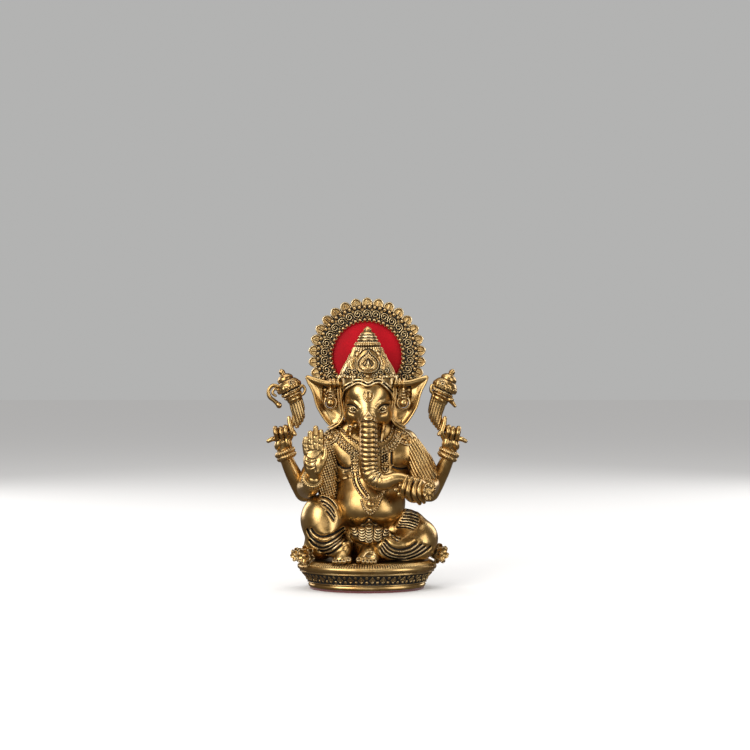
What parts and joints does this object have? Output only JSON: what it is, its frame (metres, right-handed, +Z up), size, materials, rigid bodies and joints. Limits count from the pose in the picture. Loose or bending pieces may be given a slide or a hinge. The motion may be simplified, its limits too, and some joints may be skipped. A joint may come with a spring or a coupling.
{
  "type": "ganesha idol",
  "caption": "Seated elephant-headed devotional idol in antique brass on an oval plinth, with a round petal halo and red disc that lift off.",
  "frame": {"origin": "centre of the oval underside, where the felt pad meets the shelf", "axes": "+Z up through the crown, the figure faces -Y, +X towards the figure's own left"},
  "size_m": [0.1564, 0.083, 0.2296],
  "materials": {
    "antique_brass": "polished high spots, dark antique patina in the recesses",
    "red_lacquer": "satin red",
    "felt": "matt felt",
    "fastener_steel": "bright zinc"
  },
  "bodies": {
    "idol": {"base_plinth": "antique_brass", "belly_band": "antique_brass", "body_nut": "fastener_steel", "body_stud": "fastener_steel", "body_washer": "fastener_steel", "bracket_screw_left": "fastener_steel", "bracket_screw_right": "fastener_steel", "crown_band": "antique_brass", "crown_crest": "antique_brass", "crown_dome": "antique_brass", "crown_finial": "antique_brass", "dhoti_pleats": "antique_brass", "felt_pad": "felt", "forehead_mark": "antique_brass", "front_left_arm": "antique_brass", "front_left_bracelet": "antique_brass", "front_left_hand": "antique_brass", "front_right_arm": "antique_brass", "front_right_bracelet": "antique_brass", "front_right_hand": "antique_brass", "goad": "antique_brass", "halo_bracket": "antique_brass", "head": "antique_brass", "left_ear": "antique_brass", "left_earring": "antique_brass", "left_foot": "antique_brass", "left_leg": "antique_brass", "left_sash": "antique_brass", "left_shoulder_ornament": "antique_brass", "left_tusk": "antique_brass", "long_necklace": "antique_brass", "modak": "antique_brass", "neck_collar": "antique_brass", "neck_dowel": "fastener_steel", "noose": "antique_brass", "pendant": "antique_brass", "rear_left_arm": "antique_brass", "rear_left_bracelet": "antique_brass", "rear_left_hand": "antique_brass", "rear_right_arm": "antique_brass", "rear_right_bracelet": "antique_brass", "rear_right_hand": "antique_brass", "right_ear": "antique_brass", "right_earring": "antique_brass", "right_foot": "antique_brass", "right_leg": "antique_brass", "right_sash": "antique_brass", "right_shoulder_ornament": "antique_brass", "right_tusk": "antique_brass", "rosette_left": "antique_brass", "rosette_right_front": "antique_brass", "rosette_right_rear": "antique_brass", "torso": "antique_brass", "trunk": "antique_brass"},
    "halo": {"halo_disc": "red_lacquer", "halo_ring": "antique_brass", "halo_tongue": "antique_brass", "tongue_rivet_left": "antique_brass", "tongue_rivet_right": "antique_brass"}
  },
  "joints": [
    {"name": "halo_lift", "type": "slide", "parent": "idol", "child": "halo", "axis": [0, 0, 1], "range_m": [0, 0.03]}
  ]
}
